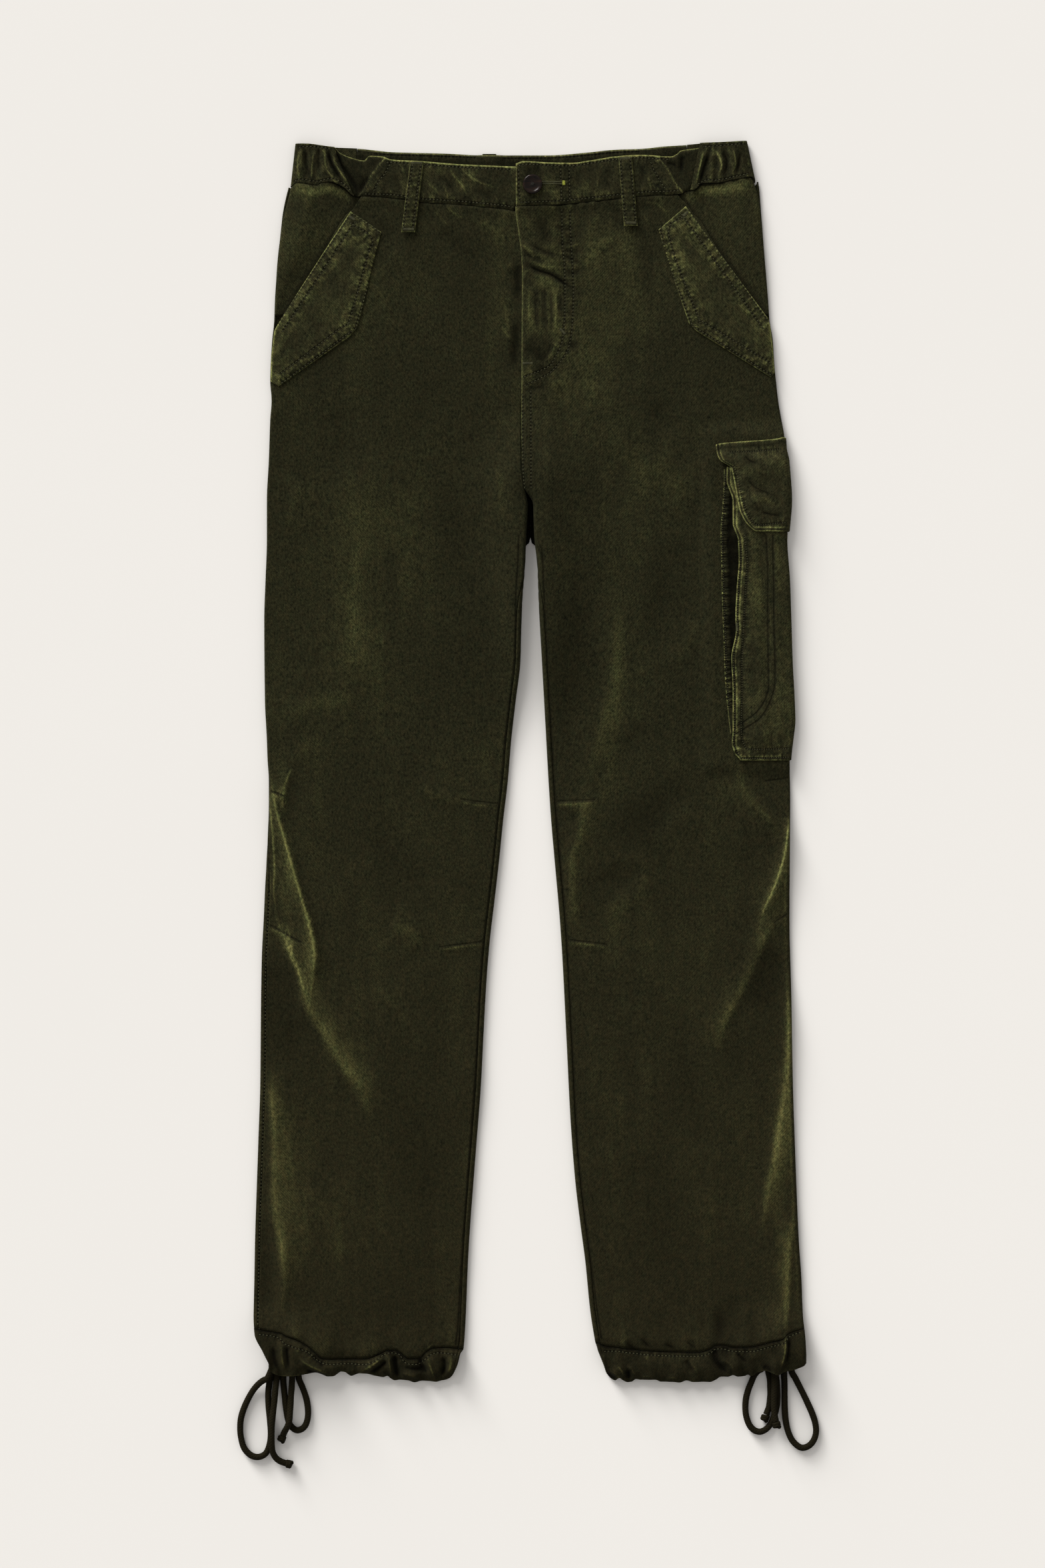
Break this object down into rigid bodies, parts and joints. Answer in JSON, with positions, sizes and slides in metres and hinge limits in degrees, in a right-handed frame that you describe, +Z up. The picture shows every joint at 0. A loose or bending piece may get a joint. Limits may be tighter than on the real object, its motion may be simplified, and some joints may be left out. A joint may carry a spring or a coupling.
{
  "type": "cargo pants",
  "caption": "Long trousers laid flat, front up: button waistband with gathered sides, slanted hip pockets, a flapped bellows pocket on one thigh, darted knees and drawcord hems tied in bows.",
  "frame": {"origin": "middle of the garment's footprint, measured without the hem cords, on the surface it rests on", "axes": "+Y from the hems to the waist, +X towards the wearer's left leg, +Z up out of the garment's front"},
  "size_m": [0.5069, 1.1567, 0.0145],
  "materials": {
    "back_left": "garment-dyed cotton twill, dark olive",
    "back_right": "garment-dyed cotton twill, dark olive",
    "belt_loop_back": "doubled garment-dyed cotton twill, dark olive",
    "belt_loop_left": "doubled garment-dyed cotton twill, dark olive",
    "belt_loop_right": "doubled garment-dyed cotton twill, dark olive",
    "bow_knot_left": "braided cotton cord, near-black olive",
    "bow_knot_right": "braided cotton cord, near-black olive",
    "button": "glossy dark brown",
    "cargo_flap": "garment-dyed cotton twill, dark olive, topstitched",
    "cargo_gusset": "garment-dyed cotton twill, dark olive, topstitched",
    "cargo_pocket": "garment-dyed cotton twill, dark olive, topstitched",
    "cord_end_left_back": "braided cotton cord, near-black olive",
    "cord_end_left_front": "braided cotton cord, near-black olive",
    "cord_end_right_long": "braided cotton cord, near-black olive",
    "cord_end_right_short": "braided cotton cord, near-black olive",
    "cord_left_end_back": "braided cotton cord, near-black olive",
    "cord_left_end_front": "braided cotton cord, near-black olive",
    "cord_left_loop_long": "braided cotton cord, near-black olive",
    "cord_left_loop_short": "braided cotton cord, near-black olive",
    "cord_right_end_long": "braided cotton cord, near-black olive",
    "cord_right_end_short": "braided cotton cord, near-black olive",
    "cord_right_loop_long": "braided cotton cord, near-black olive",
    "cord_right_loop_short": "braided cotton cord, near-black olive",
    "front_left": "garment-dyed cotton twill, dark olive",
    "front_right": "garment-dyed cotton twill, dark olive",
    "hem_casing_left": "garment-dyed cotton twill, dark olive",
    "hem_casing_right": "garment-dyed cotton twill, dark olive",
    "pocket_patch_left": "garment-dyed cotton twill, dark olive, topstitched",
    "pocket_patch_right": "garment-dyed cotton twill, dark olive, topstitched",
    "side_panel_left": "garment-dyed cotton twill, dark olive",
    "side_panel_right": "garment-dyed cotton twill, dark olive",
    "waistband_back": "doubled garment-dyed cotton twill, dark olive",
    "waistband_front_left": "doubled garment-dyed cotton twill, dark olive",
    "waistband_front_right": "doubled garment-dyed cotton twill, dark olive",
    "waistband_side_left": "doubled garment-dyed cotton twill, dark olive",
    "waistband_side_right": "doubled garment-dyed cotton twill, dark olive"
  },
  "bodies": {
    "root": {"back_left": "back_left", "back_right": "back_right", "belt_loop_back": "belt_loop_back", "belt_loop_left": "belt_loop_left", "belt_loop_right": "belt_loop_right", "bow_knot_left": "bow_knot_left", "bow_knot_right": "bow_knot_right", "button": "button", "cargo_flap": "cargo_flap", "cargo_gusset": "cargo_gusset", "cargo_pocket": "cargo_pocket", "cord_end_left_back": "cord_end_left_back", "cord_end_left_front": "cord_end_left_front", "cord_end_right_long": "cord_end_right_long", "cord_end_right_short": "cord_end_right_short", "cord_left_end_back": "cord_left_end_back", "cord_left_end_front": "cord_left_end_front", "cord_left_loop_long": "cord_left_loop_long", "cord_left_loop_short": "cord_left_loop_short", "cord_right_end_long": "cord_right_end_long", "cord_right_end_short": "cord_right_end_short", "cord_right_loop_long": "cord_right_loop_long", "cord_right_loop_short": "cord_right_loop_short", "front_left": "front_left", "front_right": "front_right", "hem_casing_left": "hem_casing_left", "hem_casing_right": "hem_casing_right", "pocket_patch_left": "pocket_patch_left", "pocket_patch_right": "pocket_patch_right", "side_panel_left": "side_panel_left", "side_panel_right": "side_panel_right", "waistband_back": "waistband_back", "waistband_front_left": "waistband_front_left", "waistband_front_right": "waistband_front_right", "waistband_side_left": "waistband_side_left", "waistband_side_right": "waistband_side_right"}
  },
  "joints": []
}
